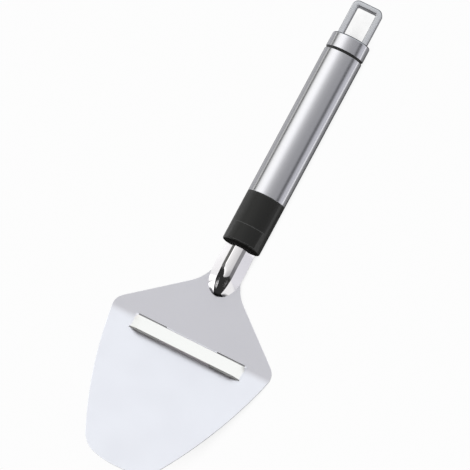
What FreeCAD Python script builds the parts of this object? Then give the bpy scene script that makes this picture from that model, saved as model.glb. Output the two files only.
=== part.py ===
"""Cheese slicer: a bent steel blade on a polished shank, with a collar, an oval tube handle and a loop.

Millimetres. +X runs across the tool, +Y along the handle from the blade to the loop and +Z up, with the
face that carries the raised strip on top. The origin is under the middle of the tool, at the level of the
handle's underside. Each piece is drawn about the handle's axis, from its own front end, and then placed.
"""
import FreeCAD, Part
import math
import os
import Sketcher

doc = FreeCAD.newDocument("cheese_slicer")
dims = doc.addObject("Spreadsheet::Sheet", "dims")

DIMENSIONS = {
    # Handle
    "handle_width": 19.0,
    "handle_height": 14.2,
    "tube_length": 76.7,
    "tube_wall": 0.6,
    "fit_gap": 0.05,
    # Collar
    "collar_length": 25.6,
    "collar_rim_radius": 0.8,
    "spigot_length": 16.0,
    "thumb_pad_setback": 0.9,
    "thumb_pad_length": 8.5,
    "thumb_pad_width": 13.8,
    "thumb_pad_flank": 0.8,
    "thumb_pad_rise": 0.35,
    # Tail of the handle
    "ring_length": 1.25,
    "ring_recess": 0.35,
    "cap_length": 7.6,
    "cap_wall": 0.9,
    "cap_end_wall": 0.9,
    "cap_rim_radius": 0.9,
    "plug_depth": 15.0,
    # Hanging loop
    "loop_width": 15.0,
    "loop_reach": 18.4,
    "loop_strap": 2.7,
    "loop_thickness": 4.2,
    "loop_outer_radius": 3.0,
    "loop_inner_radius": 0.8,
    "loop_shoulder": 3.2,
    "loop_tab_width": 9.0,
    "loop_tab_depth": 16.0,
    "loop_pin_diameter": 3.0,
    "loop_pin_inset": 4.0,
    # Shank
    "shank_width": 14.4,
    "shank_nose_width": 15.4,
    "shank_height": 5.4,
    "shank_tip_height": 0.3,
    "shank_shoulder": 7.2,
    "shank_shoulder_drop": 1.05,
    "shank_crest": 4.0,
    "shank_crown": 0.06,
    "shank_neck_length": 9.0,
    "shank_nose_length": 16.1,
    "seat_depth": 10.0,
    "tang_width": 6.6,
    "tang_thickness": 2.2,
    "tang_length": 29.0,
    "tang_pin_diameter": 2.5,
    # Blade
    "sheet_thickness": 1.0,
    "sheet_drop": 3.0,
    "tongue_width": 12.4,
    "flare_distance": 17.4,
    "flare_radius": 21.0,
    "shoulder_distance": 46.4,
    "shoulder_width": 82.6,
    "shoulder_radius": 6.5,
    "side_bow_radius": 226.0,
    "bend_distance": 51.1,
    "bend_angle": 20.0,
    "bend_radius": 11.0,
    "front_reach": 69.9,
    "front_width": 33.6,
    "front_bow_radius": 42.0,
    "front_corner_radius": 13.0,
    # Raised strip over the slot
    "strip_length": 58.4,
    "strip_ramp": 5.5,
    "strip_width": 7.4,
    "strip_setback": 2.6,
    "strip_riser": 1.6,
    "strip_riser_run": 0.8,
    "strip_tilt": 22.0,
    "strip_lap": 0.5,
    "lip_gap": 0.5,
    "lip_bevel": 1.6,
    "lip_edge": 0.2,
    "pin_end_gap": 0.2,
    "cut_margin": 2.0,
}

for row, (alias, size) in enumerate(DIMENSIONS.items(), 1):
    dims.set(f"A{row}", alias)
    dims.set(f"B{row}", str(size))
    dims.setAlias(f"B{row}", alias)
doc.recompute()

# Stations along the handle, from the collar's front end
TUBE_START = "dims.collar_length"
RING_START = f"({TUBE_START} + dims.tube_length)"
CAP_START = f"({RING_START} + dims.ring_length)"
HANDLE_END = f"({CAP_START} + dims.cap_length)"
FRONT_END = "(dims.bend_distance + dims.front_reach)"
MIDDLE_SHIFT = f"({FRONT_END} - {HANDLE_END} - dims.loop_reach) / 2"

# Inside of the tube and of the cap, less the clearance of what fits there
TUBE_INSET = "2 * (dims.tube_wall + dims.fit_gap)"
CAP_INSET = "2 * (dims.cap_wall + dims.fit_gap)"


def value(formula):
    return dims.evalExpression(formula)


def new_body(name, station):
    body = doc.addObject("PartDesign::Body", name)
    place(body, name, station)
    return body


def place(piece, name, station, height="0"):
    piece.Label = name
    piece.setExpression("Placement.Base.y", f"{MIDDLE_SHIFT} + {station}")
    piece.setExpression("Placement.Base.z", f"dims.handle_height / 2 + {height}")


def new_sketch(body, role, name, offset="0"):
    sketch = body.newObject("Sketcher::SketchObject", name)
    plane = [feature for feature in body.Origin.OriginFeatures if feature.Role == role][0]
    sketch.AttachmentSupport = [(plane, "")]
    sketch.MapMode = "FlatFace"
    sketch.setExpression("AttachmentOffset.Base.z", offset)
    return sketch


def bind(sketch, kind, *geometry, to):
    index = sketch.addConstraint(Sketcher.Constraint(kind, *geometry, value(to)))
    sketch.setExpression(f"Constraints[{index}]", to)


def pin_point(sketch, edge, end, across, up):
    bind(sketch, "DistanceX", -1, 1, edge, end, to=across)
    bind(sketch, "DistanceY", -1, 1, edge, end, to=up)


def add_oval(sketch, width, height):
    """An ellipse about the handle's axis."""
    tip = FreeCAD.Vector(value(width) / 2, 0, 0)
    top = FreeCAD.Vector(0, value(height) / 2, 0)
    edge = sketch.addGeometry(Part.Ellipse(tip, top, FreeCAD.Vector(0, 0, 0)))
    sketch.exposeInternalGeometry(edge)
    major, minor = edge + 1, edge + 2
    sketch.addConstraint(Sketcher.Constraint("Horizontal", major))
    pin_point(sketch, edge, 3, "0", "0")
    bind(sketch, "Distance", major, to=width)
    bind(sketch, "Distance", minor, to=height)


def add_circle(sketch, diameter, across, up):
    centre = FreeCAD.Vector(value(across), value(up), 0)
    circle = Part.Circle(centre, FreeCAD.Vector(0, 0, 1), value(diameter) / 2)
    edge = sketch.addGeometry(circle)
    pin_point(sketch, edge, 3, across, up)
    bind(sketch, "Diameter", edge, to=diameter)


def add_outline(sketch, corners):
    """A closed outline through corners (across, up), counter-clockwise. A third entry is the radius of
    the arc to the next corner, and a fourth, "in", makes that arc hollow."""
    points = [FreeCAD.Vector(value(corner[0]), value(corner[1]), 0) for corner in corners]
    ends = []
    for corner, start, finish in zip(corners, points, points[1:] + points[:1]):
        hollow = corner[3:] == ("in",)
        if len(corner) == 2:
            edge = sketch.addGeometry(Part.LineSegment(start, finish))
        else:
            chord = finish - start
            side = FreeCAD.Vector(-chord.y, chord.x, 0).normalize() * (-1 if hollow else 1)
            radius = value(corner[2])
            centre = (start + finish) / 2 + side * math.sqrt(radius ** 2 - (chord.Length / 2) ** 2)
            turns = [math.atan2(point.y - centre.y, point.x - centre.x) for point in (start, finish)]
            circle = Part.Circle(centre, FreeCAD.Vector(0, 0, 1), radius)
            edge = sketch.addGeometry(Part.ArcOfCircle(circle, *(turns[::-1] if hollow else turns)))
            bind(sketch, "Radius", edge, to=corner[2])
        ends.append((edge, 2, 1) if hollow else (edge, 1, 2))
    for corner, (edge, first, _), (before, _, last) in zip(corners, ends, ends[-1:] + ends[:-1]):
        sketch.addConstraint(Sketcher.Constraint("Coincident", before, last, edge, first))
        pin_point(sketch, edge, first, corner[0], corner[1])


def add_rectangle(sketch, left, right, low, high):
    add_outline(sketch, [(left, low), (right, low), (right, high), (left, high)])


def add_feature(body, kind, name, sketch, length, reverse=False, both_ways=False):
    feature = body.newObject(f"PartDesign::{kind}", name)
    feature.Profile = sketch
    feature.setExpression("Length", length)
    feature.Reversed = reverse
    feature.SideType = "Symmetric" if both_ways else "One side"
    doc.recompute()
    return feature


def join_sections(body, name, sections, ruled):
    loft = body.newObject("PartDesign::AdditiveLoft", name)
    loft.Profile = sections[0]
    loft.Sections = sections[1:]
    loft.Ruled = ruled
    doc.recompute()


def extrude_oval(body, name, start, length, width, height):
    """A solid oval bar along +Y."""
    sketch = new_sketch(body, "XZ_Plane", f"{name}_section", f"-({start})")
    add_oval(sketch, width, height)
    return add_feature(body, "Pad", name, sketch, length, reverse=True)


def extrude_ring(body, name, length, outer_inset, inner_inset):
    """An oval ring along +Y, inset from the handle's outside."""
    sketch = new_sketch(body, "XZ_Plane", f"{name}_section")
    for inset in (outer_inset, inner_inset):
        add_oval(sketch, f"dims.handle_width - {inset}", f"dims.handle_height - {inset}")
    return add_feature(body, "Pad", name, sketch, length, reverse=True)


def drill(body, name, diameter, station):
    """A round hole along Z, right through the handle's height."""
    sketch = new_sketch(body, "XY_Plane", f"{name}_section")
    add_circle(sketch, diameter, "0", station)
    return add_feature(body, "Pocket", name, sketch, "2 * dims.handle_height", both_ways=True)


def round_edges(body, name, radius, chosen):
    """Fillet the edges of the body's tip that the function chosen accepts."""
    base = body.Tip
    names = [f"Edge{i}" for i, edge in enumerate(base.Shape.Edges, 1) if chosen(edge)]
    fillet = body.newObject("PartDesign::Fillet", name)
    fillet.Base = (base, names)
    fillet.setExpression("Radius", radius)
    doc.recompute()
    return fillet


def upright_at(across, up):
    """Accepts an edge along Z at this distance either side of the middle."""
    x, y = value(across), value(up)

    def chosen(edge):
        low, high = edge.Vertexes[0].Point, edge.Vertexes[-1].Point
        on_spot = math.isclose(abs(low.x), x, abs_tol=1e-4) and math.isclose(low.y, y, abs_tol=1e-4)
        return on_spot and (high - low).cross(FreeCAD.Vector(0, 0, 1)).Length < 1e-6 and high != low

    return chosen


def in_plane_y(station):
    """Accepts an edge that lies wholly in the plane y = station."""
    y = value(station)

    def chosen(edge):
        return abs(edge.BoundBox.YMin - y) < 1e-4 and abs(edge.BoundBox.YMax - y) < 1e-4

    return chosen


# Levels of the blade's sheet below the handle's axis
SHEET_TOP = "-dims.sheet_drop"
SHEET_BOTTOM = "(-dims.sheet_drop - dims.sheet_thickness)"


def blade_outline(body):
    """Plan of the sheet, as a tall prism with its corners rounded."""
    sketch = new_sketch(body, "XY_Plane", "outline")
    flare = "-dims.flare_distance"
    shoulder = "-dims.shoulder_distance"
    bow_height = "sqrt(dims.front_bow_radius ^ 2 - (dims.front_width / 2) ^ 2)"
    front = f"dims.front_bow_radius - {FRONT_END} - {bow_height}"
    left = [
        ("-dims.tongue_width / 2", "dims.seat_depth"),
        ("-dims.tongue_width / 2", flare),
        ("-dims.shoulder_width / 2", shoulder, "dims.side_bow_radius"),
        ("-dims.front_width / 2", front, "dims.front_bow_radius"),
    ]
    right = [
        ("dims.front_width / 2", front, "dims.side_bow_radius"),
        ("dims.shoulder_width / 2", shoulder),
        ("dims.tongue_width / 2", flare),
        ("dims.tongue_width / 2", "dims.seat_depth"),
    ]
    add_outline(sketch, left + right)
    add_feature(body, "Pad", "plan", sketch, "2 * dims.front_reach", both_ways=True)
    round_edges(body, "flare_rounding", "dims.flare_radius", upright_at("dims.tongue_width / 2", flare))
    round_edges(
        body, "shoulder_rounding", "dims.shoulder_radius", upright_at("dims.shoulder_width / 2", shoulder)
    )
    round_edges(
        body, "front_rounding", "dims.front_corner_radius", upright_at("dims.front_width / 2", front)
    )


def bend_sheet(body):
    """Cut the prism down to the bent sheet: level behind the bend, rising in front of it."""
    rear = "dims.seat_depth + dims.cut_margin"
    ahead = "(dims.front_reach + dims.cut_margin)"
    tangent = "dims.bend_radius * tan(dims.bend_angle / 2)"
    bend_start = f"{tangent} - dims.bend_distance"
    bend_finish = f"-dims.bend_distance - {tangent} * cos(dims.bend_angle)"
    bend_rise = f"{tangent} * sin(dims.bend_angle)"
    under_y = "dims.sheet_thickness * sin(dims.bend_angle)"
    under_z = "dims.sheet_thickness * cos(dims.bend_angle)"
    front_y = f"-dims.bend_distance - {ahead}"
    front_z = f"{SHEET_TOP} + {ahead} * tan(dims.bend_angle)"
    outer_radius = "dims.bend_radius + dims.sheet_thickness"
    sketch = new_sketch(body, "YZ_Plane", "sheet_profile")
    add_outline(sketch, [
        (rear, SHEET_TOP),
        (bend_start, SHEET_TOP, "dims.bend_radius", "in"),
        (bend_finish, f"{SHEET_TOP} + {bend_rise}"),
        (front_y, front_z),
        (f"{front_y} - {under_y}", f"{front_z} - {under_z}"),
        (f"{bend_finish} - {under_y}", f"{SHEET_TOP} + {bend_rise} - {under_z}", outer_radius),
        (bend_start, SHEET_BOTTOM),
        (rear, SHEET_BOTTOM),
    ])
    add_rectangle(
        sketch, f"{front_y} - 2 * {under_y} - dims.cut_margin", f"{rear} + dims.cut_margin",
        "-2 * dims.front_reach", "2 * dims.front_reach",
    )
    add_feature(body, "Pocket", "sheet", sketch, "2 * dims.shoulder_width", both_ways=True)


# Edges of the strip, along the handle and across the tool
HINGE = "(dims.strip_setback - dims.bend_distance)"
STRIP_FRONT = f"({HINGE} - dims.strip_width)"
LIP = f"({STRIP_FRONT} - dims.lip_gap)"
SLOT_LENGTH = "(dims.strip_length - 2 * dims.strip_lap)"


def front_level(station):
    """Height of the sheet's top in front of the bend."""
    return f"({SHEET_TOP} - ({station} + dims.bend_distance) * tan(dims.bend_angle))"


def strip_section(body, name, offset, raised):
    """The strip's section: lapped on the sheet, up the riser and forward, or lying on the sheet."""
    sketch = new_sketch(body, "YZ_Plane", name, offset)
    thickness = "dims.sheet_thickness"
    root = f"{HINGE} + dims.strip_lap"
    crest = f"({HINGE} - dims.strip_riser_run)"
    crest_level = f"{SHEET_TOP} + dims.strip_riser" if raised else SHEET_TOP
    plateau_rise = "(dims.strip_width - dims.strip_riser_run) * tan(dims.strip_tilt)"
    front = f"{crest_level} + {plateau_rise}" if raised else front_level(STRIP_FRONT)
    slant = f"dims.strip_riser_run / (dims.strip_riser + dims.strip_riser_run) * {thickness}"
    add_outline(sketch, [
        (root, SHEET_TOP),
        (HINGE, SHEET_TOP),
        (crest, crest_level),
        (STRIP_FRONT, front),
        (STRIP_FRONT, f"{front} - {thickness}"),
        (f"{crest} - {slant}", f"{crest_level} - {thickness}"),
        (f"{HINGE} - {slant}", SHEET_BOTTOM),
        (root, SHEET_BOTTOM),
    ])
    return sketch


def raise_strip(body):
    """Slot across the sheet with a honed lip, and the strip over it, pressed up from its rear edge."""
    slot = new_sketch(body, "XY_Plane", "slot_plan")
    add_rectangle(slot, f"-{SLOT_LENGTH} / 2", f"{SLOT_LENGTH} / 2", LIP, HINGE)
    add_feature(body, "Pocket", "slot", slot, "2 * dims.front_reach", both_ways=True)

    lip = new_sketch(body, "YZ_Plane", "lip_bevel_profile")
    bevel_end = f"({LIP} - dims.lip_bevel)"
    above = "dims.sheet_thickness"
    edge_level = f"{front_level(LIP)} - {above} / cos(dims.bend_angle) + dims.lip_edge"
    add_outline(lip, [
        (LIP, edge_level),
        (LIP, f"{front_level(LIP)}"),
        (bevel_end, f"{front_level(bevel_end)}"),
    ])
    add_feature(body, "Pocket", "lip_bevel", lip, SLOT_LENGTH, both_ways=True)

    ramp_end = "(dims.strip_length / 2 - dims.strip_ramp)"
    sections = [
        strip_section(body, "strip_left_end", "-dims.strip_length / 2", raised=False),
        strip_section(body, "strip_left", f"-{ramp_end}", raised=True),
        strip_section(body, "strip_right", ramp_end, raised=True),
        strip_section(body, "strip_right_end", "dims.strip_length / 2", raised=False),
    ]
    join_sections(body, "strip", sections, ruled=True)


def make_blade():
    body = new_body("blade", "0")
    blade_outline(body)
    bend_sheet(body)
    raise_strip(body)
    return body


TANG_PIN_STATION = "(dims.collar_length + dims.spigot_length / 2)"


def add_keel(sketch, width, height, scale="1", gap="0"):
    """The shank's section: flat on the blade's tongue, with flanks, flatter shoulders and a crest."""
    foot = f"({width} / 2 * {scale} + {gap})"
    shoulder = f"(dims.shank_shoulder / 2 * {scale} + {gap})"
    crest = f"(dims.shank_crest / 2 * {scale} + {gap})"
    crown = f"(dims.shank_crown * {scale})"
    crest_level = f"({SHEET_TOP} + {height} - {crown} + {gap})"
    shoulder_level = f"({crest_level} - dims.shank_shoulder_drop * {scale})"
    radius = f"({crest} ^ 2 + {crown} ^ 2) / (2 * {crown})"
    add_outline(sketch, [
        (f"-{foot}", SHEET_TOP),
        (foot, SHEET_TOP),
        (shoulder, shoulder_level),
        (crest, crest_level, radius),
        (f"-{crest}", crest_level),
        (f"-{shoulder}", shoulder_level),
    ])


def make_shank():
    """Keel-shaped neck and nose on the blade's tongue, with a flat tang into the collar's spigot."""
    body = new_body("shank", "0")
    seat = new_sketch(body, "XZ_Plane", "seat_section")
    add_keel(seat, "dims.shank_width", "dims.shank_height")
    add_feature(body, "Pad", "seat", seat, "dims.seat_depth", reverse=True)

    collar_end = new_sketch(body, "XZ_Plane", "neck_at_collar")
    add_keel(collar_end, "dims.shank_width", "dims.shank_height")
    nose_sections = []
    for part in ("0", "0.15", "0.35", "0.6", "0.8", "0.93", "0.995"):
        station = f"dims.shank_neck_length + {part} * dims.shank_nose_length"
        fall = f"(dims.shank_height - dims.shank_tip_height) * {part} ^ 2"
        sketch = new_sketch(body, "XZ_Plane", f"nose_{len(nose_sections)}", station)
        add_keel(sketch, "dims.shank_nose_width", f"(dims.shank_height - {fall})", f"sqrt(1 - {part} ^ 3)")
        nose_sections.append(sketch)
    join_sections(body, "neck", [collar_end, nose_sections[0]], ruled=True)
    join_sections(body, "nose", nose_sections, ruled=False)

    tang = new_sketch(body, "XZ_Plane", "tang_section", "-dims.seat_depth")
    add_rectangle(
        tang, "-dims.tang_width / 2", "dims.tang_width / 2",
        "-dims.tang_thickness / 2", "dims.tang_thickness / 2",
    )
    add_feature(body, "Pad", "tang", tang, "dims.tang_length", reverse=True)
    drill(body, "pin_hole", "dims.tang_pin_diameter + 2 * dims.fit_gap", TANG_PIN_STATION)
    return body


def raise_thumb_pad(body):
    """Low pad on the collar's top, with sloping flanks, from behind the rim back to a straight crease."""
    reach = "(dims.thumb_pad_width / 2)"
    base = f"({reach} + dims.thumb_pad_flank)"

    def oval_level(across, offset):
        wide, high = (f"(dims.{size} / 2 + {offset})" for size in ("handle_width", "handle_height"))
        return f"{high} * sqrt(1 - ({across} / {wide}) ^ 2)"

    edge_level = oval_level(reach, "dims.thumb_pad_rise")
    base_level = oval_level(base, "-dims.fit_gap")
    crown = f"(dims.handle_height / 2 + dims.thumb_pad_rise - {edge_level})"
    radius = f"({reach} ^ 2 + {crown} ^ 2) / (2 * {crown})"
    sketch = new_sketch(body, "XZ_Plane", "thumb_pad_section", "-dims.thumb_pad_setback")
    add_outline(sketch, [
        (f"-{base}", "0"),
        (base, "0"),
        (base, base_level),
        (reach, edge_level, radius),
        (f"-{reach}", edge_level),
        (f"-{base}", base_level),
    ])
    add_feature(body, "Pad", "thumb_pad", sketch, "dims.thumb_pad_length", reverse=True)


def make_collar():
    """Black collar, flush with the tube, with a spigot inside it and a seat for shank, tongue and tang."""
    body = new_body("collar", "0")
    extrude_oval(body, "grip", "0", "dims.collar_length", "dims.handle_width", "dims.handle_height")
    round_edges(body, "rim_rounding", "dims.collar_rim_radius", in_plane_y("0"))
    extrude_oval(
        body, "spigot", TUBE_START, "dims.spigot_length",
        f"dims.handle_width - {TUBE_INSET}", f"dims.handle_height - {TUBE_INSET}",
    )
    raise_thumb_pad(body)

    seat = new_sketch(body, "XZ_Plane", "seat_section")
    add_keel(seat, "dims.shank_width", "dims.shank_height", gap="dims.fit_gap")
    add_feature(body, "Pocket", "seat", seat, "dims.seat_depth + dims.fit_gap")
    tongue = new_sketch(body, "XZ_Plane", "tongue_section")
    half_tongue = "(dims.tongue_width / 2 + dims.fit_gap)"
    add_rectangle(tongue, f"-{half_tongue}", half_tongue, f"{SHEET_BOTTOM} - dims.fit_gap", SHEET_TOP)
    add_feature(body, "Pocket", "tongue_slot", tongue, "dims.seat_depth + dims.fit_gap")
    tang = new_sketch(body, "XZ_Plane", "tang_section")
    half_tang = "(dims.tang_width / 2 + dims.fit_gap)"
    tang_top = "(dims.tang_thickness / 2 + dims.fit_gap)"
    add_rectangle(tang, f"-{half_tang}", half_tang, f"-{tang_top}", tang_top)
    add_feature(
        body, "Pocket", "tang_slot", tang, "dims.collar_length + dims.spigot_length + dims.cut_margin"
    )
    drill(body, "pin_hole", "dims.tang_pin_diameter + 2 * dims.fit_gap", TANG_PIN_STATION)
    return body


def make_tube():
    body = new_body("handle_tube", TUBE_START)
    extrude_ring(body, "tube", "dims.tube_length", "0", "2 * dims.tube_wall")
    return body


def make_ring():
    body = new_body("spacer_ring", RING_START)
    extrude_ring(body, "ring", "dims.ring_length", "2 * dims.ring_recess", "2 * dims.cap_wall")
    return body


# Plug stations, from the tube's rear end
PLUG_REAR = "(dims.ring_length + dims.cap_length - dims.cap_end_wall)"
LOOP_END = "(dims.ring_length + dims.cap_length)"
LOOP_PIN_STATION = "-dims.loop_pin_inset"


def cut_loop_slot(body, name, width, rear, depth):
    """A flat slot along -Y for the loop's shoulder or tab."""
    sketch = new_sketch(body, "XZ_Plane", f"{name}_section", f"-{rear}")
    half_width = f"({width} / 2 + dims.fit_gap)"
    half_height = "(dims.loop_thickness / 2 + dims.fit_gap)"
    add_rectangle(sketch, f"-{half_width}", half_width, f"-{half_height}", half_height)
    add_feature(body, "Pocket", name, sketch, depth, reverse=True)


def make_plug():
    """Plug in the tube's tail that carries the ring and the cap and holds the loop's tab."""
    body = new_body("tail_plug", RING_START)
    extrude_oval(
        body, "in_tube", "-dims.plug_depth", "dims.plug_depth",
        f"dims.handle_width - {TUBE_INSET}", f"dims.handle_height - {TUBE_INSET}",
    )
    extrude_oval(
        body, "in_cap", "0", PLUG_REAR,
        f"dims.handle_width - {CAP_INSET}", f"dims.handle_height - {CAP_INSET}",
    )
    cut_loop_slot(
        body, "shoulder_slot", "dims.loop_width", PLUG_REAR,
        "dims.loop_shoulder - dims.cap_end_wall + dims.fit_gap",
    )
    cut_loop_slot(
        body, "tab_slot", "dims.loop_tab_width", PLUG_REAR,
        "dims.loop_tab_depth - dims.cap_end_wall + dims.fit_gap",
    )
    drill(body, "pin_hole", "dims.loop_pin_diameter + 2 * dims.fit_gap", LOOP_PIN_STATION)
    return body


def make_cap():
    """Drawn cap, open towards the ring, with a slot for the loop in its end wall."""
    body = new_body("end_cap", CAP_START)
    extrude_oval(body, "shell", "0", "dims.cap_length", "dims.handle_width", "dims.handle_height")
    round_edges(body, "rim_rounding", "dims.cap_rim_radius", in_plane_y("dims.cap_length"))
    hollow = new_sketch(body, "XZ_Plane", "hollow_section")
    add_oval(hollow, "dims.handle_width - 2 * dims.cap_wall", "dims.handle_height - 2 * dims.cap_wall")
    add_feature(body, "Pocket", "hollow", hollow, "dims.cap_length - dims.cap_end_wall")
    cut_loop_slot(body, "loop_slot", "dims.loop_width", "dims.cap_length", "2 * dims.cap_end_wall")
    return body


def make_loop():
    """Flat stamped loop: an eye outside the cap, a shoulder in its slot and a pinned tab in the plug."""
    body = new_body("hang_loop", HANDLE_END)
    half = "dims.loop_width / 2"
    half_tab = "dims.loop_tab_width / 2"
    half_eye = f"({half} - dims.loop_strap)"
    eye_end = "dims.loop_reach - dims.loop_strap"
    sketch = new_sketch(body, "XY_Plane", "outline")
    add_outline(sketch, [
        (f"-{half_tab}", "-dims.loop_tab_depth"),
        (half_tab, "-dims.loop_tab_depth"),
        (half_tab, "-dims.loop_shoulder"),
        (half, "-dims.loop_shoulder"),
        (half, "dims.loop_reach"),
        (f"-{half}", "dims.loop_reach"),
        (f"-{half}", "-dims.loop_shoulder"),
        (f"-{half_tab}", "-dims.loop_shoulder"),
    ])
    add_rectangle(sketch, f"-{half_eye}", half_eye, "0", eye_end)
    add_feature(body, "Pad", "plate", sketch, "dims.loop_thickness", both_ways=True)
    round_edges(body, "outer_rounding", "dims.loop_outer_radius", upright_at(half, "dims.loop_reach"))
    round_edges(body, "inner_rounding", "dims.loop_inner_radius", upright_at(half_eye, eye_end))
    drill(
        body, "pin_hole", "dims.loop_pin_diameter + 2 * dims.fit_gap", f"{LOOP_PIN_STATION} - {LOOP_END}"
    )
    return body


def make_pin(name, diameter, station):
    """Upright pin across the inside of the tube."""
    pin = doc.addObject("Part::Cylinder", name)
    length = f"(dims.handle_height - {TUBE_INSET} - 2 * dims.pin_end_gap)"
    pin.setExpression("Radius", f"{diameter} / 2")
    pin.setExpression("Height", length)
    place(pin, name, station, f"-{length} / 2")
    return pin


pieces = [
    make_blade(),
    make_shank(),
    make_collar(),
    make_pin("tang_pin", "dims.tang_pin_diameter", TANG_PIN_STATION),
    make_tube(),
    make_ring(),
    make_plug(),
    make_cap(),
    make_loop(),
    make_pin("loop_pin", "dims.loop_pin_diameter", f"{RING_START} + {LOOP_PIN_STATION}"),
]
doc.recompute()

failed = [item.Name for item in doc.Objects if {"Invalid", "Error"} & set(item.State)]
if failed:
    raise RuntimeError(f"features not made: {failed}")
for piece in pieces:
    if piece.Shape.isNull() or not piece.Shape.isValid() or len(piece.Shape.Solids) != 1:
        raise RuntimeError(f"{piece.Label} is not one valid solid")

os.makedirs("parts", exist_ok=True)
for piece in pieces:
    piece.Shape.exportStep(f"parts/{piece.Label}.step")
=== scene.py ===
"""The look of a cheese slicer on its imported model: blade, neck, collar, oval handle and hanging loop."""
import math

import bmesh
import bpy
from mathutils import Matrix, Vector


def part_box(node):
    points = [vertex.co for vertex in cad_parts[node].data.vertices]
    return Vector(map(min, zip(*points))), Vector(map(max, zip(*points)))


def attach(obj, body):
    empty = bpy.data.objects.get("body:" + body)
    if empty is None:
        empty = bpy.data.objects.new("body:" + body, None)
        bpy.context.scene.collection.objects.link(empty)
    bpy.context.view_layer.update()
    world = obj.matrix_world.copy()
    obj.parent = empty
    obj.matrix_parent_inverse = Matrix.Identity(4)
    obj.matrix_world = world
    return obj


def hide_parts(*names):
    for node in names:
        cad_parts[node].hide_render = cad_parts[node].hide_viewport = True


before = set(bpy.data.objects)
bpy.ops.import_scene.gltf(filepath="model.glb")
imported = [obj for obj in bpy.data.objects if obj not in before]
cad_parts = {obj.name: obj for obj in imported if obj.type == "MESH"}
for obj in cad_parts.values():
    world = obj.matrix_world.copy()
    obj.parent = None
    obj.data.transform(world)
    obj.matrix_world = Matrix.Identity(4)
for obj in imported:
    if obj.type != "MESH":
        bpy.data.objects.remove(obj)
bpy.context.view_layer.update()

# Blade. One sheet of stainless steel, stamped out, slit and bent across its middle, with the strip behind
# the slit pressed up as a bridge. The sheet is satin finished, the strip's top polished, the lip in front of
# the slit honed, and the cut edges are tumbled smooth. Sizes are in millimetres, and stations run along Y.
MM = 0.001
COLLAR_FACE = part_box("collar")[0].y / MM
SHEET = 1.0
SHEET_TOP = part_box("shank")[0].z / MM
SHEET_EDGE = 0.16
BEND_LINE = COLLAR_FACE - 51.1
BEND_ANGLE = math.radians(20)
BEND_RADIUS = 11.0
STRIP_REAR = BEND_LINE + 2.6
STRIP_CREST = STRIP_REAR - 0.8
STRIP_FRONT = STRIP_REAR - 7.4
STRIP_RISE = 1.6
STRIP_SLOPE = math.tan(math.radians(22))
STRIP_END, RAMP_END = 29.2, 23.7
RELIEF_START, RELIEF_END = 13.0, 27.5
RELIEF_REAR, RELIEF_FRONT = STRIP_REAR + 0.25, STRIP_REAR - 0.4
LIP = STRIP_FRONT - 0.5
SLOT_END = 28.7
HONED_WIDTH, HONED_DEPTH, HONED_FADE = 8.0, 0.03, 2.0
OUTLINE_STEPS, CREST_STEPS, STRIP_STEPS, HONED_STEPS = 240, 8, 16, 9
BESIDE_BLADE = 2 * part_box("blade")[1].x / MM


def eased(part, rounding=0.5):
    """From 0 to 1 along a straight ramp, with this share of it rounded off at each end."""
    part = min(max(part, 0.0), 1.0)
    if part > 0.5:
        return 1 - eased(1 - part, rounding)
    if part < rounding:
        return part * part / (2 * rounding * (1 - rounding))
    return (part - rounding / 2) / (1 - rounding)


def spread(first, last, steps):
    """Even stations from first to last."""
    return [first + (last - first) * i / steps for i in range(steps + 1)]


def sheet_level(y, depth=0.0):
    """Height of the sheet's top, or of a layer this deep: level, round the bend, then rising in front."""
    past = BEND_LINE + BEND_RADIUS * math.tan(BEND_ANGLE / 2) - y
    radius = BEND_RADIUS + depth
    if past < 0:
        return SHEET_TOP - depth
    if past < radius * math.sin(BEND_ANGLE):
        return SHEET_TOP + BEND_RADIUS - math.sqrt(radius ** 2 - past ** 2)
    return SHEET_TOP + (BEND_LINE - y) * math.tan(BEND_ANGLE) - depth / math.cos(BEND_ANGLE)


def strip_lift(x, y):
    """How far the strip is pressed up from the sheet: a quick rise at the rear and a ramp at each end."""
    if not STRIP_FRONT - 0.01 < y < STRIP_REAR:
        return 0.0
    rise = STRIP_RISE * eased((STRIP_REAR - y) / (STRIP_REAR - STRIP_CREST))
    level = SHEET_TOP + rise + max(STRIP_CREST - y, 0.0) * STRIP_SLOPE
    return (level - sheet_level(y)) * eased((STRIP_END - abs(x)) / (STRIP_END - RAMP_END), 0.15)


def honing(x, y):
    """How much the honed lip is hollowed, deepest at the slit."""
    if not LIP - HONED_WIDTH < y < LIP + 0.01:
        return 0.0
    return HONED_DEPTH * (1 - (LIP - y) / HONED_WIDTH) ** 2 * eased((SLOT_END - abs(x)) / HONED_FADE)


def half_width(y):
    """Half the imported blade's width at a station, found by a ray from beside it at mid thickness."""
    start = Vector((BESIDE_BLADE, y, sheet_level(y) - SHEET / 2)) * MM
    found, place, _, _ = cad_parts["blade"].ray_cast(start, Vector((-1.0, 0.0, 0.0)))
    return place.x / MM if found else 0.0


def cut_along(mesh, faces, point, normal):
    """Divide these faces of a flat mesh along a straight line."""
    parts = {part for face in faces for part in (*face.verts, *face.edges)}
    bmesh.ops.bisect_plane(mesh, geom=[*parts, *faces], plane_co=point, plane_no=normal)


def cut_away(mesh, low, high, inner, outer):
    """Take out the faces of a flat mesh between two stations, at this range of distances from the middle."""
    middles = {face: face.calc_center_median() for face in mesh.faces}
    chosen = [f for f, at in middles.items() if low < at.y < high and inner < abs(at.x) < outer]
    bmesh.ops.delete(mesh, geom=chosen, context="FACES")


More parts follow.
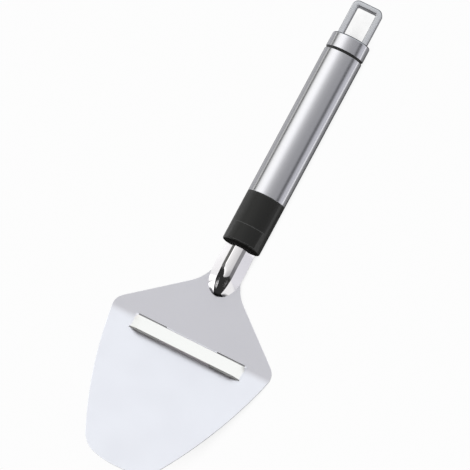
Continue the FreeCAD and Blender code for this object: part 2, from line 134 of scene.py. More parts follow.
front_end, rear_end = (corner.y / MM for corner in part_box("blade"))
middle, reach = (rear_end + front_end) / 2, (rear_end - front_end) / 2
stations = [middle + reach * math.cos(turn) for turn in spread(0.0, math.pi, OUTLINE_STEPS)[1:-1]]
right_side = [(half_width(y), y) for y in stations]
blade_mesh = bmesh.new()
blade_mesh.faces.new([blade_mesh.verts.new((x, y, 0.0)) for x, y in (
    *right_side, (0.0, front_end), *((-x, y) for x, y in reversed(right_side)),
)])
rows = {
    RELIEF_REAR, *spread(STRIP_REAR, STRIP_CREST, CREST_STEPS),
    *spread(STRIP_CREST, STRIP_FRONT, STRIP_STEPS), *spread(LIP, LIP - HONED_WIDTH, HONED_STEPS),
}
for y in sorted(rows):
    cut_along(blade_mesh, blade_mesh.faces[:], (0, y, 0), (0, 1, 0))
columns = [RELIEF_START, RELIEF_END, *spread(SLOT_END, SLOT_END - HONED_FADE, 2)]
columns += spread(STRIP_END, RAMP_END, STRIP_STEPS)
for x in columns + [-x for x in columns]:
    near = [f for f in blade_mesh.faces if LIP - HONED_WIDTH < f.calc_center_median().y < RELIEF_REAR]
    cut_along(blade_mesh, near, (x, 0, 0), (1, 0, 0))
cut_away(blade_mesh, LIP, STRIP_FRONT, 0.0, SLOT_END)
cut_away(blade_mesh, RELIEF_FRONT, RELIEF_REAR, RELIEF_START, RELIEF_END)
upper = blade_mesh.verts[:]
under = bmesh.ops.extrude_face_region(blade_mesh, geom=blade_mesh.faces[:], use_keep_orig=True)["geom"]
for corner in upper:
    x, y, _ = corner.co
    corner.co.z = sheet_level(y) + strip_lift(x, y) - honing(x, y)
for corner in (part for part in under if isinstance(part, bmesh.types.BMVert)):
    x, y, _ = corner.co
    corner.co.z = sheet_level(y, SHEET) + strip_lift(x, y)
bmesh.ops.recalc_face_normals(blade_mesh, faces=blade_mesh.faces)
bmesh.ops.scale(blade_mesh, vec=(MM, MM, MM), verts=blade_mesh.verts)


def linear(hex_colour):
    """An sRGB hex colour as linear RGBA."""
    channels = [int(hex_colour[i:i + 2], 16) / 255 for i in (1, 3, 5)]
    return [c / 12.92 if c <= 0.04045 else ((c + 0.055) / 1.055) ** 2.4 for c in channels] + [1.0]


def add(tree, kind, sockets=None, **settings):
    """A node with its settings. Sockets get values, or links where a value is another node's output."""
    node = tree.nodes.new(kind)
    for name, setting in settings.items():
        setattr(node, name, setting)
    for name, value in (sockets or {}).items():
        if isinstance(value, bpy.types.NodeSocket):
            tree.links.new(value, node.inputs[name])
        else:
            node.inputs[name].default_value = value
    return node


def new_material(name):
    """An empty node material, with the object's own coordinates ready for its patterns."""
    material = bpy.data.materials.new(name)
    material.use_nodes = True
    material.node_tree.nodes.clear()
    place = add(material.node_tree, "ShaderNodeTexCoord").outputs["Object"]
    return material, material.node_tree, place


def new_piece(name, mesh, material):
    """An object of the scene from a finished bmesh, shaded smooth."""
    data = bpy.data.meshes.new(name)
    mesh.to_mesh(data)
    mesh.free()
    data.shade_smooth()
    data.materials.append(material)
    piece = bpy.data.objects.new(name, data)
    bpy.context.scene.collection.objects.link(piece)
    return piece


def soften(piece, width, segments=2):
    """Round sharp edges by a small radius, and keep the flat faces shaded flat."""
    bevel = piece.modifiers.new("soft_edges", "BEVEL")
    bevel.width = width
    bevel.segments = segments
    bevel.limit_method = "ANGLE"
    bevel.angle_limit = math.radians(35)
    piece.modifiers.new("even_shading", "WEIGHTED_NORMAL")


# Satin stainless sheet: fine rolled grain along the tool that scatters light softly, faint clouding,
# brighter tumbled edges, and a polished strip. The grain is 0.05 mm wide in the metal, drawn at 0.35 mm.
GRAIN_SIZE = 0.35, 14.0, 2.0
CLOUD_SIZE = 18.0
sheet_steel, tree, place = new_material("satin_stainless_sheet")
xyz = add(tree, "ShaderNodeSeparateXYZ", {"Vector": place})
front_top = add(tree, "ShaderNodeMath", {
    0: xyz.outputs["Y"], 1: -math.tan(BEND_ANGLE), 2: (SHEET_TOP + BEND_LINE * math.tan(BEND_ANGLE)) * MM,
}, operation="MULTIPLY_ADD")
level = add(tree, "ShaderNodeMath", {0: front_top.outputs[0], 1: SHEET_TOP * MM}, operation="MAXIMUM")
above = add(tree, "ShaderNodeMath", {0: xyz.outputs["Z"], 1: level.outputs[0]}, operation="SUBTRACT")
on_strip = add(tree, "ShaderNodeMapRange", {
    "Value": above.outputs[0], "From Min": 0.15 * MM, "From Max": 0.5 * MM,
})
grain_place = add(tree, "ShaderNodeMapping", {
    "Vector": place, "Scale": [1 / (size * MM) for size in GRAIN_SIZE],
})
grain = add(tree, "ShaderNodeTexNoise", {"Vector": grain_place.outputs[0], "Scale": 1.0, "Detail": 3.0})
cloud = add(tree, "ShaderNodeTexNoise", {"Vector": place, "Scale": 1 / (CLOUD_SIZE * MM), "Detail": 2.0})
sheet_rough = add(tree, "ShaderNodeMapRange", {
    "Value": cloud.outputs["Fac"], "To Min": 0.46, "To Max": 0.54,
})
rough = add(tree, "ShaderNodeMix", {
    0: on_strip.outputs[0], 2: sheet_rough.outputs[0], 3: 0.2,
}, data_type="FLOAT")
rounded = add(tree, "ShaderNodeBevel", {"Radius": 0.5 * MM}, samples=4)
flat = add(tree, "ShaderNodeNewGeometry").outputs["Normal"]
facing = add(tree, "ShaderNodeVectorMath", {0: rounded.outputs[0], 1: flat}, operation="DOT_PRODUCT")
edge_wear = add(tree, "ShaderNodeMapRange", {
    "Value": facing.outputs["Value"], "From Min": 0.985, "From Max": 0.9,
})
worn = add(tree, "ShaderNodeMix", {
    0: edge_wear.outputs[0], 6: linear("#DBD9DF"), 7: linear("#EAEAEE"),
}, data_type="RGBA")
tint = add(tree, "ShaderNodeMix", {
    0: on_strip.outputs[0], 6: worn.outputs[2], 7: linear("#D2CECC"),
}, data_type="RGBA")
relief = add(tree, "ShaderNodeBump", {
    "Strength": 0.1, "Distance": 0.02 * MM, "Height": grain.outputs["Fac"],
})
steel = add(tree, "ShaderNodeBsdfPrincipled", {
    "Base Color": tint.outputs[2], "Metallic": 1.0,
    "Roughness": rough.outputs[0], "Normal": relief.outputs[0],
})
add(tree, "ShaderNodeOutputMaterial", {"Surface": steel.outputs[0]})

blade = new_piece("sheet_blade", blade_mesh, sheet_steel)
soften(blade, SHEET_EDGE * MM)
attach(blade, "root")
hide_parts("blade")


# Neck. A forged stainless keel, welded flat on the blade's tongue: a flat crest between sloping shoulders
# and full flanks, a nose that falls away over the blade, and a flat tang inside the handle. It is mirror
# polished, so it shows the lights and the floor.
NECK_LENGTH, NOSE_LENGTH = 9.0, 16.1
NECK_HALF, NOSE_HALF = 7.2, 7.7
NECK_RISE, TIP_RISE = 5.4, 0.3
CREST_HALF, NECK_CROWN, NOSE_CROWN = 2.0, 0.1, 1.0
SHOULDER_HALF, SHOULDER_SLOPE, EDGE_ROUNDING = 3.6, 0.656, 0.06
SEAT_DEPTH, TANG_LENGTH = 10.0, 29.0
TANG_HALF, TANG_TOP, TANG_THICKNESS = 3.3, 8.2, 2.2
TANG_SIDE = 0.6
NECK_EDGE = 0.15
NECK_POINTS, NECK_STEPS, NOSE_STEPS = 144, 12, 48


def keel_ring(station, half, rise, scale=1.0, roundness=NECK_CROWN):
    """Points of one section over its width: a crowned crest, sloping shoulders and steeper flanks."""
    foot, edge, shoulder = half * scale, CREST_HALF * scale, SHOULDER_HALF * scale
    slope = SHOULDER_SLOPE * rise / NECK_RISE
    crown = roundness * slope * edge / 2
    rim = rise - NECK_CROWN * slope * edge / 2
    flank_top = rim - slope * (shoulder - edge)
    ring = []
    for part in spread(-1.0, 1.0, NECK_POINTS):
        across = foot * abs(part)
        crest = rim + crown * (1 - min(across / edge, 1.0) ** 2)
        fall = rim - slope * (across - edge)
        blend = max(EDGE_ROUNDING - abs(crest - fall), 0.0)
        level = min(crest, fall) - blend * blend / (4 * EDGE_ROUNDING)
        if across > shoulder:
            level = flank_top * (foot - across) / (foot - shoulder)
        ring.append((foot * part, COLLAR_FACE - station, SHEET_TOP + level))
    return ring


def tang_ring(station):
    """Points of the flat tang's section, in the same order. A side has TANG_SIDE of half the top's points."""
    ring = []
    for part in spread(-1 - TANG_SIDE, 1 + TANG_SIDE, NECK_POINTS):
        drop = TANG_THICKNESS * max(abs(part) - 1.0, 0.0) / TANG_SIDE
        ring.append((TANG_HALF * min(max(part, -1.0), 1.0), COLLAR_FACE - station, TANG_TOP - drop))
    return ring


rings = [tang_ring(-SEAT_DEPTH - TANG_LENGTH), tang_ring(-SEAT_DEPTH)]
rings.append(keel_ring(-SEAT_DEPTH, NECK_HALF, NECK_RISE))
for part in spread(0.0, 1.0, NECK_STEPS):
    rings.append(keel_ring(part * NECK_LENGTH, NECK_HALF + (NOSE_HALF - NECK_HALF) * part, NECK_RISE))
for turn in spread(0.0, math.pi / 2, NOSE_STEPS)[1:]:
    part = math.sin(turn)
    rise = NECK_RISE - (NECK_RISE - TIP_RISE) * part ** 2
    scale = max(math.sqrt(1 - part ** 3), 0.002)
    roundness = NECK_CROWN + (NOSE_CROWN - NECK_CROWN) * eased((part - 0.12) / 0.4)
    rings.append(keel_ring(NECK_LENGTH + NOSE_LENGTH * part, NOSE_HALF, rise, scale, roundness))
neck_mesh = bmesh.new()
loops = [[neck_mesh.verts.new(Vector(point) * MM) for point in ring] for ring in rings]
for near, far in zip(loops, loops[1:]):
    for i in range(len(near)):
        neck_mesh.faces.new((near[i - 1], near[i], far[i], far[i - 1]))
neck_mesh.faces.new(loops[0])
neck_mesh.faces.new(reversed(loops[-1]))
bmesh.ops.remove_doubles(neck_mesh, verts=neck_mesh.verts, dist=0.004 * MM)
bmesh.ops.recalc_face_normals(neck_mesh, faces=neck_mesh.faces)

# Mirror polished stainless: hard reflections, faint lines left by the polishing wheel along the neck, and a
# dark rim of painted shade, low down round the nose's tip where it meets the blade. The lines are 0.05 mm
# wide in the metal and are drawn at 0.5 mm.
POLISH_SIZE = 0.5, 9.0, 0.5
TIP_SHADE_TOP, TIP_SHADE_FULL = SHEET_TOP + 1.2, SHEET_TOP + 0.7
TIP_SHADE_START, TIP_SHADE_END = COLLAR_FACE - 22.0, COLLAR_FACE - 23.2
polished_steel, tree, place = new_material("mirror_polished_stainless")
lines = add(tree, "ShaderNodeMapping", {
    "Vector": place, "Scale": [1 / (size * MM) for size in POLISH_SIZE],
})
polish = add(tree, "ShaderNodeTexNoise", {"Vector": lines.outputs[0], "Scale": 1.0, "Detail": 2.0})
rough = add(tree, "ShaderNodeMapRange", {"Value": polish.outputs["Fac"], "To Min": 0.05, "To Max": 0.1})
relief = add(tree, "ShaderNodeBump", {
    "Strength": 0.03, "Distance": 0.01 * MM, "Height": polish.outputs["Fac"],
})
xyz = add(tree, "ShaderNodeSeparateXYZ", {"Vector": place})
low = add(tree, "ShaderNodeMapRange", {
    "Value": xyz.outputs["Z"], "From Min": TIP_SHADE_TOP * MM, "From Max": TIP_SHADE_FULL * MM,
})
at_tip = add(tree, "ShaderNodeMapRange", {
    "Value": xyz.outputs["Y"], "From Min": TIP_SHADE_START * MM, "From Max": TIP_SHADE_END * MM,
})
# Painted shade: the base colour is darkened low down at the nose's tip, where it meets the blade.
painted_tip_shade = add(tree, "ShaderNodeMath", {0: low.outputs[0], 1: at_tip.outputs[0]}, operation="MULTIPLY")
tint = add(tree, "ShaderNodeMix", {
    0: painted_tip_shade.outputs[0], 6: linear("#F3F1F3"), 7: linear("#57565A"),
}, data_type="RGBA")
steel = add(tree, "ShaderNodeBsdfPrincipled", {
    "Base Color": tint.outputs[2], "Metallic": 1.0,
    "Roughness": rough.outputs[0], "Normal": relief.outputs[0],
})
add(tree, "ShaderNodeOutputMaterial", {"Surface": steel.outputs[0]})

neck = new_piece("polished_neck", neck_mesh, polished_steel)
soften(neck, NECK_EDGE * MM)
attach(neck, "root")
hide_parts("shank")


# Collar. A collar of black nylon, moulded with a low thumb pad on top. It is pushed into the tube and pinned
# to the neck's tang.
COLLAR_EDGE = 0.3


def finish_node(name, material, width=None, segments=2):
    """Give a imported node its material, and soft edges. Its triangles are loose, so they are welded first."""
    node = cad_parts[name]
    node.data.materials.clear()
    node.data.materials.append(material)
    if width:
        weld = node.modifiers.new("weld", "WELD")
        weld.merge_threshold = 0.001 * MM
        soften(node, width, segments)


# Moulded black nylon: a fine spark-eroded grain that spreads the light into a dull sheen, coarser and duller
# on the front face. Painted highlights lighten its edges and run along the right flank, and a painted sheen
# lightens the left flank. The grain is 0.1 mm wide in the nylon and is drawn at 0.4 mm.
EROSION_SIZE = 0.4
RIGHT_HIGHLIGHT_HEADING = 0.77
black_nylon, tree, place = new_material("moulded_black_nylon")
pits = add(tree, "ShaderNodeTexNoise", {"Vector": place, "Scale": 1 / (EROSION_SIZE * MM), "Detail": 2.0})
sheen = add(tree, "ShaderNodeMapRange", {"Value": pits.outputs["Fac"], "To Min": 0.4, "To Max": 0.5})
flat = add(tree, "ShaderNodeNewGeometry").outputs["Normal"]
heading = add(tree, "ShaderNodeSeparateXYZ", {"Vector": flat})
on_front = add(tree, "ShaderNodeMapRange", {
    "Value": heading.outputs["Y"], "From Min": -0.5, "From Max": -0.9,
})
rough = add(tree, "ShaderNodeMix", {0: on_front.outputs[0], 2: sheen.outputs[0], 3: 0.95}, data_type="FLOAT")
rounded = add(tree, "ShaderNodeBevel", {"Radius": 0.5 * MM}, samples=6)
facing = add(tree, "ShaderNodeVectorMath", {0: rounded.outputs[0], 1: flat}, operation="DOT_PRODUCT")
# Painted highlight: edges found by the bevel get a lighter colour.
painted_edge_highlight = add(tree, "ShaderNodeMapRange", {
    "Value": facing.outputs["Value"], "From Min": 0.995, "From Max": 0.9,
})
# Painted sheen on faces turned to the left, and a painted highlight along a line on the right flank.
painted_left_sheen = add(tree, "ShaderNodeMapRange", {
    "Value": heading.outputs["X"], "From Min": -0.33, "From Max": -0.58, "To Min": 0.0, "To Max": 0.4,
})
from_right_highlight = add(tree, "ShaderNodeMath", {0: heading.outputs["X"], 1: RIGHT_HIGHLIGHT_HEADING}, operation="SUBTRACT")
beside_right_highlight = add(tree, "ShaderNodeMath", {0: from_right_highlight.outputs[0]}, operation="ABSOLUTE")
painted_right_highlight = add(tree, "ShaderNodeMapRange", {
    "Value": beside_right_highlight.outputs[0], "From Min": 0.03, "From Max": 0.1, "To Min": 0.25, "To Max": 0.0,
}, interpolation_type="SMOOTHSTEP")
painted_flank_sheen = add(tree, "ShaderNodeMath", {0: painted_left_sheen.outputs[0], 1: painted_right_highlight.outputs[0]}, operation="MAXIMUM")
painted_nylon_sheen = add(tree, "ShaderNodeMath", {0: painted_edge_highlight.outputs[0], 1: painted_flank_sheen.outputs[0]}, operation="MAXIMUM")
tint = add(tree, "ShaderNodeMix", {
    0: painted_nylon_sheen.outputs[0], 6: linear("#161513"), 7: linear("#5B5A5A"),
}, data_type="RGBA")
gloss = add(tree, "ShaderNodeMapRange", {"Value": on_front.outputs[0], "To Min": 0.34, "To Max": 0.05})
relief = add(tree, "ShaderNodeBump", {
    "Strength": 0.1, "Distance": 0.02 * MM, "Height": pits.outputs["Fac"],
})
nylon = add(tree, "ShaderNodeBsdfPrincipled", {
    "Base Color": tint.outputs[2], "Roughness": rough.outputs[0], "Normal": relief.outputs[0],
    "IOR": 1.53, "Specular IOR Level": gloss.outputs[0],
})
add(tree, "ShaderNodeOutputMaterial", {"Surface": nylon.outputs[0]})
finish_node("collar", black_nylon, COLLAR_EDGE * MM, 3)


# Tang pin. A short pin cut from drawn steel wire. It goes through the collar's spigot and the neck's tang,
# and the tube shuts it in.

# Drawn steel: dull, with fine lines along the pin from the drawing die. The lines are 0.05 mm wide in the
# metal and are drawn at 0.3 mm.
DRAWN_SIZE = 0.3, 0.3, 6.0
drawn_steel, tree, place = new_material("drawn_steel_pin")
lines = add(tree, "ShaderNodeMapping", {
    "Vector": place, "Scale": [1 / (size * MM) for size in DRAWN_SIZE],
})
draw = add(tree, "ShaderNodeTexNoise", {"Vector": lines.outputs[0], "Scale": 1.0, "Detail": 2.0})
rough = add(tree, "ShaderNodeMapRange", {"Value": draw.outputs["Fac"], "To Min": 0.3, "To Max": 0.4})
relief = add(tree, "ShaderNodeBump", {
    "Strength": 0.1, "Distance": 0.01 * MM, "Height": draw.outputs["Fac"],
})
steel = add(tree, "ShaderNodeBsdfPrincipled", {
    "Base Color": linear("#C9C9CB"), "Metallic": 1.0,
    "Roughness": rough.outputs[0], "Normal": relief.outputs[0],
})
add(tree, "ShaderNodeOutputMaterial", {"Surface": steel.outputs[0]})
finish_node("tang_pin", drawn_steel)


# Handle tube. A drawn oval tube of stainless steel, cut square with broken edges and brushed round its girth.
# It is pushed over the collar's spigot in front and the tail plug behind.
TUBE_WALL, TUBE_LIP = 0.6, 0.12

# A sleeve is a rounded wall section carried round an oval. Tube and ring are both made with it.
sleeve = bpy.data.node_groups.new("oval_sleeve", "GeometryNodeTree")
for label in ("Width", "Height", "Length", "Wall", "Lip"):
    sleeve.interface.new_socket(label, in_out="INPUT", socket_type="NodeSocketFloat")
sleeve.interface.new_socket("Centre", in_out="INPUT", socket_type="NodeSocketVector")
sleeve.interface.new_socket("Material", in_out="INPUT", socket_type="NodeSocketMaterial")
sleeve.interface.new_socket("Sleeve", in_out="OUTPUT", socket_type="NodeSocketGeometry")
size = add(sleeve, "NodeGroupInput").outputs
across = add(sleeve, "ShaderNodeMath", {0: size["Width"], 1: size["Wall"]}, operation="SUBTRACT")
upright = add(sleeve, "ShaderNodeMath", {0: size["Height"], 1: size["Wall"]}, operation="SUBTRACT")
girth = add(sleeve, "ShaderNodeCombineXYZ", {"X": across.outputs[0], "Y": upright.outputs[0], "Z": 1.0})
circle = add(sleeve, "GeometryNodeCurvePrimitiveCircle", {"Resolution": 160, "Radius": 0.5})
oval = add(sleeve, "GeometryNodeTransform", {"Geometry": circle.outputs["Curve"], "Scale": girth.outputs[0]})
untwisted = add(sleeve, "GeometryNodeSetCurveNormal", {"Curve": oval.outputs[0]}, mode="Z_UP")
section = add(sleeve, "GeometryNodeCurvePrimitiveQuadrilateral", {
    "Width": size["Wall"], "Height": size["Length"],
})
broken = add(sleeve, "GeometryNodeFilletCurve", {
    "Curve": section.outputs[0], "Count": 3, "Radius": size["Lip"],
}, mode="POLY")
wall = add(sleeve, "GeometryNodeCurveToMesh", {
    "Curve": untwisted.outputs[0], "Profile Curve": broken.outputs[0],
})
lying = add(sleeve, "GeometryNodeTransform", {
    "Geometry": wall.outputs[0], "Rotation": (math.pi / 2, 0.0, 0.0), "Translation": size["Centre"],
})
whole = add(sleeve, "GeometryNodeRealizeInstances", {"Geometry": lying.outputs[0]})
coated = add(sleeve, "GeometryNodeSetMaterial", {"Geometry": whole.outputs[0], "Material": size["Material"]})
add(sleeve, "NodeGroupOutput", {0: coated.outputs[0]})


def fit_sleeve(name, node, wall, lip, material):
    """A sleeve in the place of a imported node, made a plain mesh."""
    low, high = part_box(node)
    values = {
        "Width": high.x - low.x, "Height": high.z - low.z, "Length": high.y - low.y, "Wall": wall * MM,
        "Lip": lip * MM, "Centre": tuple((low + high) / 2), "Material": material,
    }
    piece = bpy.data.objects.new(name, bpy.data.meshes.new(name))
    bpy.context.scene.collection.objects.link(piece)
    shape = piece.modifiers.new("oval_sleeve", "NODES")
    shape.node_group = sleeve
    for socket in sleeve.interface.items_tree:
        if socket.in_out == "INPUT":
            shape[socket.identifier] = values[socket.name]
    made = bpy.data.meshes.new_from_object(piece.evaluated_get(bpy.context.evaluated_depsgraph_get()))
    piece.modifiers.remove(shape)
    piece.data = made
    mesh = bmesh.new()
    mesh.from_mesh(made)
    bmesh.ops.recalc_face_normals(mesh, faces=mesh.faces)
    mesh.to_mesh(made)
    mesh.free()
    made.shade_smooth()
    piece.modifiers.new("even_shading", "WEIGHTED_NORMAL")
    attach(piece, "root")
    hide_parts(node)


# Brushed stainless tube: fine grooves round the girth that draw the reflections out along the handle. Faces
# towards the tail are painted darker, a painted shade for the dark reflection on their rims. The grooves are
# 0.1 mm wide in the metal and are drawn at 0.6 mm.
GROOVE_SIZE = 25.0, 0.6, 25.0
brushed_steel, tree, place = new_material("brushed_stainless_tube")
grooves = add(tree, "ShaderNodeMapping", {
    "Vector": place, "Scale": [1 / (size * MM) for size in GROOVE_SIZE],
})
brush = add(tree, "ShaderNodeTexNoise", {"Vector": grooves.outputs[0], "Scale": 1.0, "Detail": 3.0})
rough = add(tree, "ShaderNodeMapRange", {"Value": brush.outputs["Fac"], "To Min": 0.14, "To Max": 0.22})
relief = add(tree, "ShaderNodeBump", {
    "Strength": 0.12, "Distance": 0.02 * MM, "Height": brush.outputs["Fac"],
})
flat = add(tree, "ShaderNodeNewGeometry").outputs["Normal"]
heading = add(tree, "ShaderNodeSeparateXYZ", {"Vector": flat})
# Painted shade: faces turned towards the tail get a darker colour.
painted_tail_shade = add(tree, "ShaderNodeMapRange", {
    "Value": heading.outputs["Y"], "From Min": 0.1, "From Max": 0.35,
})
tint = add(tree, "ShaderNodeMix", {
    0: painted_tail_shade.outputs[0], 6: linear("#CBCBD0"), 7: linear("#6C6C70"),
}, data_type="RGBA")
steel = add(tree, "ShaderNodeBsdfPrincipled", {
    "Base Color": tint.outputs[2], "Metallic": 1.0,
    "Roughness": rough.outputs[0], "Normal": relief.outputs[0],
})
add(tree, "ShaderNodeOutputMaterial", {"Surface": steel.outputs[0]})
fit_sleeve("brushed_tube", "handle_tube", TUBE_WALL, TUBE_LIP, brushed_steel)


# Spacer ring. A ring of black nylon, moulded like the collar and slightly sunk. It sits on the tail plug
# between the tube and the cap.
RING_WALL, RING_LIP = 0.55, 0.1
fit_sleeve("sunk_ring", "spacer_ring", RING_WALL, RING_LIP, black_nylon)


# Tail plug. A plug of the same moulded nylon, pressed into the tube's end. It carries the ring and the cap
# and holds the loop's tab.
finish_node("tail_plug", black_nylon)


# End cap. A cap drawn from stainless sheet, with a slot for the loop, and brushed together with the tube. It
# is glued on the plug.
CAP_EDGE = 0.1
finish_node("end_cap", brushed_steel, CAP_EDGE * MM)


# Hanging loop. A thick plate of stainless steel, stamped with an open eye and tumbled until its edges are
# well rounded. Its tab is pinned inside the plug.
LOOP_EDGE = 0.6

# Tumbled stainless: matt and slightly pitted by the tumbling stones, with painted shade darkening faces
# towards the tail. The pits are 0.2 mm wide in the metal and are drawn at 0.6 mm.
PIT_SIZE = 0.6
tumbled_steel, tree, place = new_material("tumbled_stainless_plate")
pits = add(tree, "ShaderNodeTexNoise", {"Vector": place, "Scale": 1 / (PIT_SIZE * MM), "Detail": 2.0})
rough = add(tree, "ShaderNodeMapRange", {"Value": pits.outputs["Fac"], "To Min": 0.42, "To Max": 0.52})
relief = add(tree, "ShaderNodeBump", {
    "Strength": 0.03, "Distance": 0.02 * MM, "Height": pits.outputs["Fac"],
})
flat = add(tree, "ShaderNodeNewGeometry").outputs["Normal"]
heading = add(tree, "ShaderNodeSeparateXYZ", {"Vector": flat})
# Painted shade: faces turned towards the tail get a darker colour.
painted_end_shade = add(tree, "ShaderNodeMapRange", {"Value": heading.outputs["Y"], "From Min": 0.05, "From Max": 0.3})
tint = add(tree, "ShaderNodeMix", {
    0: painted_end_shade.outputs[0], 6: linear("#CACACE"), 7: linear("#7C7C80"),
}, data_type="RGBA")
steel = add(tree, "ShaderNodeBsdfPrincipled", {
    "Base Color": tint.outputs[2], "Metallic": 1.0,
    "Roughness": rough.outputs[0], "Normal": relief.outputs[0],
})
add(tree, "ShaderNodeOutputMaterial", {"Surface": steel.outputs[0]})
finish_node("hang_loop", tumbled_steel, LOOP_EDGE * MM, 3)


# Loop pin. A second pin of the drawn steel wire. It goes through the plug and the loop's tab, and the tube
# shuts it in.
finish_node("loop_pin", drawn_steel)


# Studio. A soft box hangs on the left, a lit wall stands behind, and the front is dark between two lit
# panels. The steel shows all of these, so the room is drawn as it looks from the tool: its radiance by the
# angle from overhead, in degrees, positive to the right, where the light is also a little cooler.
ROOM_LEVEL = 1.7
ROOM_ACROSS = (
    (-90, 0.95), (-85, 0.9), (-81, 0.5), (-78.5, 0.16), (-74, 0.13), (-70.5, 0.5), (-66, 0.98), (-60, 1.4),
    (-54, 1.55), (-43, 1.65), (-33, 1.62), (-24, 1.35), (-16, 0.96), (-7, 0.74), (1, 0.61), (18, 0.49),
    (37, 0.47), (42, 0.42), (46, 0.16), (56, 0.2), (60, 0.48), (66, 0.68), (74, 0.82), (90, 0.74),
)
COOLER_BY_DEGREE = 0.0006
BACK_WALL, BACK_FOOT = (0.86, 0.91, 0.915, 1.0), (0.06, 0.06, 0.06, 1.0)
FRONT_LEFT, FRONT_RIGHT, FRONT_MIDDLE = 1.7, 0.93, 0.03
room = bpy.data.worlds.new("room")
room.use_nodes = True
tree = room.node_tree
tree.nodes.clear()
towards = add(tree, "ShaderNodeTexCoord").outputs["Generated"]
xyz = add(tree, "ShaderNodeSeparateXYZ", {"Vector": towards})
angle = add(tree, "ShaderNodeMath", {0: xyz.outputs["X"], 1: xyz.outputs["Z"]}, operation="ARCTAN2")
across = add(tree, "ShaderNodeMapRange", {
    "Value": angle.outputs[0], "From Min": -math.pi / 2, "From Max": math.pi / 2,
})
sides = add(tree, "ShaderNodeValToRGB", {"Fac": across.outputs[0]})
ramp = sides.color_ramp
for degrees, radiance in ROOM_ACROSS:
    share = (degrees + 90) / 180
    stop = ramp.elements[0] if share == 0 else ramp.elements[-1] if share == 1 else ramp.elements.new(share)
    strength, blue = radiance / ROOM_LEVEL, 1 + COOLER_BY_DEGREE * degrees
    stop.color = (strength, strength, blue * strength, 1.0)

# The wall behind is lit, but dark at its foot in the middle.
aside = add(tree, "ShaderNodeMath", {0: xyz.outputs["X"]}, operation="ABSOLUTE")
off_middle = add(tree, "ShaderNodeMapRange", {
    "Value": aside.outputs[0], "From Min": 0.35, "From Max": 0.5,
}, interpolation_type="SMOOTHSTEP")
high_up = add(tree, "ShaderNodeMapRange", {
    "Value": xyz.outputs["Z"], "From Min": 0.16, "From Max": 0.3,
}, interpolation_type="SMOOTHSTEP")
lit_wall = add(tree, "ShaderNodeMath", {
    0: off_middle.outputs[0], 1: high_up.outputs[0],
}, operation="MAXIMUM")
wall = add(tree, "ShaderNodeMix", {0: lit_wall.outputs[0], 6: BACK_FOOT, 7: BACK_WALL}, data_type="RGBA")
behind = add(tree, "ShaderNodeMapRange", {
    "Value": xyz.outputs["Y"], "From Min": 0.3, "From Max": 0.62,
}, interpolation_type="SMOOTHSTEP")
rear_half = add(tree, "ShaderNodeMix", {
    0: behind.outputs[0], 6: sides.outputs["Color"], 7: wall.outputs[2],
}, data_type="RGBA")

# The dark middle of the front lies a little to the left, narrows downwards and widens again near the floor.
off_axis = add(tree, "ShaderNodeMath", {0: xyz.outputs["X"], 1: 0.08}, operation="ADD")
spread_out = add(tree, "ShaderNodeMath", {0: off_axis.outputs[0]}, operation="ABSOLUTE")
ahead = add(tree, "ShaderNodeMath", {0: xyz.outputs["Y"], 1: 1.08}, operation="ADD")
dark_half = add(tree, "ShaderNodeClamp", {"Value": ahead.outputs[0], "Min": 0.42, "Max": 0.87})
low_down = add(tree, "ShaderNodeMapRange", {
    "Value": xyz.outputs["Y"], "From Min": -0.73, "From Max": -0.8, "To Min": 0.0, "To Max": 0.3,
})
dark_edge = add(tree, "ShaderNodeMath", {0: dark_half.outputs[0], 1: low_down.outputs[0]}, operation="ADD")
past_edge = add(tree, "ShaderNodeMath", {
    0: spread_out.outputs[0], 1: dark_edge.outputs[0],
}, operation="SUBTRACT")
on_panel = add(tree, "ShaderNodeMapRange", {
    "Value": past_edge.outputs[0], "From Min": 0.0, "From Max": 0.05,
}, interpolation_type="SMOOTHSTEP")
panel_light = add(tree, "ShaderNodeMapRange", {
    "Value": xyz.outputs["X"], "From Min": -0.3, "From Max": 0.3,
    "To Min": FRONT_LEFT / ROOM_LEVEL, "To Max": FRONT_RIGHT / ROOM_LEVEL,
})
panels = add(tree, "ShaderNodeMix", {
    0: on_panel.outputs[0], 2: FRONT_MIDDLE / ROOM_LEVEL, 3: panel_light.outputs[0],
}, data_type="FLOAT")

# The front starts along a slanted line, with a step on the left.
slanted = add(tree, "ShaderNodeMath", {
    0: aside.outputs[0], 1: -0.15, 2: xyz.outputs["Y"],
}, operation="MULTIPLY_ADD")
skewed = add(tree, "ShaderNodeMath", {
    0: xyz.outputs["X"], 1: -0.05, 2: slanted.outputs[0],
}, operation="MULTIPLY_ADD")
nearer = add(tree, "ShaderNodeMapRange", {
    "Value": xyz.outputs["X"], "From Min": -0.32, "From Max": -0.46, "To Min": 0.0, "To Max": 0.34,
}, interpolation_type="SMOOTHSTEP")
stepped = add(tree, "ShaderNodeMath", {0: skewed.outputs[0], 1: nearer.outputs[0]}, operation="SUBTRACT")
in_front = add(tree, "ShaderNodeMapRange", {
    "Value": stepped.outputs[0], "From Min": -0.3, "From Max": -0.37,
}, interpolation_type="SMOOTHSTEP")
walls = add(tree, "ShaderNodeMix", {
    0: in_front.outputs[0], 6: rear_half.outputs[2], 7: panels.outputs[0],
}, data_type="RGBA")
air = add(tree, "ShaderNodeBackground", {"Color": walls.outputs[2], "Strength": ROOM_LEVEL})
add(tree, "ShaderNodeOutputWorld", {"Surface": air.outputs[0]})
bpy.context.scene.world = room

# Floor. A round sheet of white paper that lies just under the tool.
FLOOR_RADIUS, FLOOR_DROP, FLOOR_SIDES = 3.0, 0.1 * MM, 48
CAP_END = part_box("end_cap")[1].y / MM
floor_mesh = bpy.data.meshes.new("floor")
turns = [2 * math.pi * i / FLOOR_SIDES for i in range(FLOOR_SIDES)]
floor_mesh.from_pydata(
    [(FLOOR_RADIUS * math.cos(turn), FLOOR_RADIUS * math.sin(turn), -FLOOR_DROP) for turn in turns],
    [], [tuple(range(FLOOR_SIDES))],
)
floor = bpy.data.objects.new("floor", floor_mesh)
bpy.context.scene.collection.objects.link(floor)
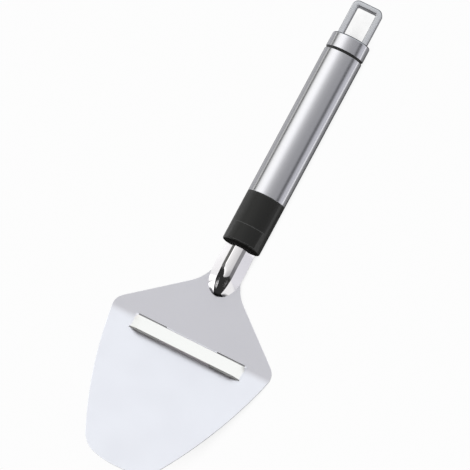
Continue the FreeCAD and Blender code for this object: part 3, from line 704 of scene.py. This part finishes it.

# White paper, drawn as a glow rather than lit: white to the camera except for a painted shadow close under
# the tool. In the steel it shows a painted pool of light on the left, painted shade beside the handle, a
# painted shadow on the right and dark under the tool, though less so under the loop.
white_paper, tree, place = new_material("white_paper_floor")
ray = add(tree, "ShaderNodeLightPath")
mirrored = add(tree, "ShaderNodeMath", {
    0: ray.outputs["Is Glossy Ray"], 1: ray.outputs["Is Transmission Ray"],
}, operation="MAXIMUM")
seen = add(tree, "ShaderNodeMath", {
    0: ray.outputs["Is Camera Ray"], 1: mirrored.outputs[0],
}, operation="MAXIMUM")
# Painted shadow and light: the glow is set by how near the tool is and by place on the floor.
open_sky = add(tree, "ShaderNodeAmbientOcclusion", {"Distance": 60 * MM}, samples=8)
plain = add(tree, "ShaderNodeMapRange", {
    "Value": open_sky.outputs["AO"], "From Min": 0.03, "From Max": 0.45, "To Min": 0.03, "To Max": 0.98,
})
lit_side = add(tree, "ShaderNodeMapRange", {
    "Value": open_sky.outputs["AO"], "From Min": 0.9, "From Max": 0.97, "To Min": 1.6, "To Max": 0.95,
})
xyz = add(tree, "ShaderNodeSeparateXYZ", {"Vector": place})
shaded_side = add(tree, "ShaderNodeMapRange", {
    "Value": xyz.outputs["X"], "From Min": 40 * MM, "From Max": 85 * MM, "To Min": 0.4, "To Max": 1.35,
})
to_right = add(tree, "ShaderNodeMapRange", {
    "Value": xyz.outputs["X"], "From Min": -8 * MM, "From Max": 8 * MM,
})
by_handle = add(tree, "ShaderNodeMapRange", {
    "Value": xyz.outputs["Y"], "From Min": COLLAR_FACE * MM, "From Max": (COLLAR_FACE + 20) * MM,
    "To Min": 1.0, "To Max": 0.58,
})
left_side = add(tree, "ShaderNodeMath", {
    0: lit_side.outputs[0], 1: by_handle.outputs[0],
}, operation="MULTIPLY")
dim = add(tree, "ShaderNodeMix", {
    0: to_right.outputs[0], 2: left_side.outputs[0], 3: shaded_side.outputs[0],
}, data_type="FLOAT")
by_loop = add(tree, "ShaderNodeMapRange", {
    "Value": xyz.outputs["Y"], "From Min": (CAP_END - 2.9) * MM, "From Max": (CAP_END + 3.1) * MM,
    "To Min": 0.12, "To Max": 0.45,
})
covered = add(tree, "ShaderNodeMapRange", {
    "Value": open_sky.outputs["AO"], "From Min": 0.7, "From Max": 0.92,
    "To Min": by_loop.outputs[0], "To Max": 1.0,
})
dimmer = add(tree, "ShaderNodeMath", {0: dim.outputs[0], 1: covered.outputs[0]}, operation="MULTIPLY")
bright = add(tree, "ShaderNodeMix", {
    0: mirrored.outputs[0], 2: plain.outputs[0], 3: dimmer.outputs[0],
}, data_type="FLOAT")
paper = add(tree, "ShaderNodeBsdfDiffuse", {"Color": linear("#F4F4F4")})
glow = add(tree, "ShaderNodeEmission", {"Color": (1.0, 1.0, 1.0, 1.0), "Strength": bright.outputs[0]})
mix = add(tree, "ShaderNodeMixShader", {0: seen.outputs[0], 1: paper.outputs[0], 2: glow.outputs[0]})
add(tree, "ShaderNodeOutputMaterial", {"Surface": mix.outputs[0]})
floor_mesh.materials.append(white_paper)

# Camera, from high in front on the right, turned so that the handle points up and to the right.
PICTURE_WIDTH = 216.2 * MM
CAMERA_DISTANCE = 3.0
across_handle = Vector((0.9851, 0.0, -0.1719))
along_handle = Vector((0.0349, 0.9792, 0.1998))
LEAN = math.radians(28.28)
right = across_handle * math.cos(LEAN) + along_handle * math.sin(LEAN)
up = along_handle * math.cos(LEAN) - across_handle * math.sin(LEAN)
back = across_handle.cross(along_handle)
picture_centre = Vector((-4.70, COLLAR_FACE + 3.60, 8.68)) * MM
lens = bpy.data.cameras.new("camera")
lens.lens = lens.sensor_width * CAMERA_DISTANCE / PICTURE_WIDTH
lens.clip_end = 100.0
camera = bpy.data.objects.new("camera", lens)
camera.matrix_world = (
    Matrix.Translation(picture_centre + back * CAMERA_DISTANCE)
    @ Matrix((right, up, back)).transposed().to_4x4()
)
bpy.context.scene.collection.objects.link(camera)
bpy.context.scene.camera = camera
bpy.context.scene.view_settings.view_transform = "Standard"
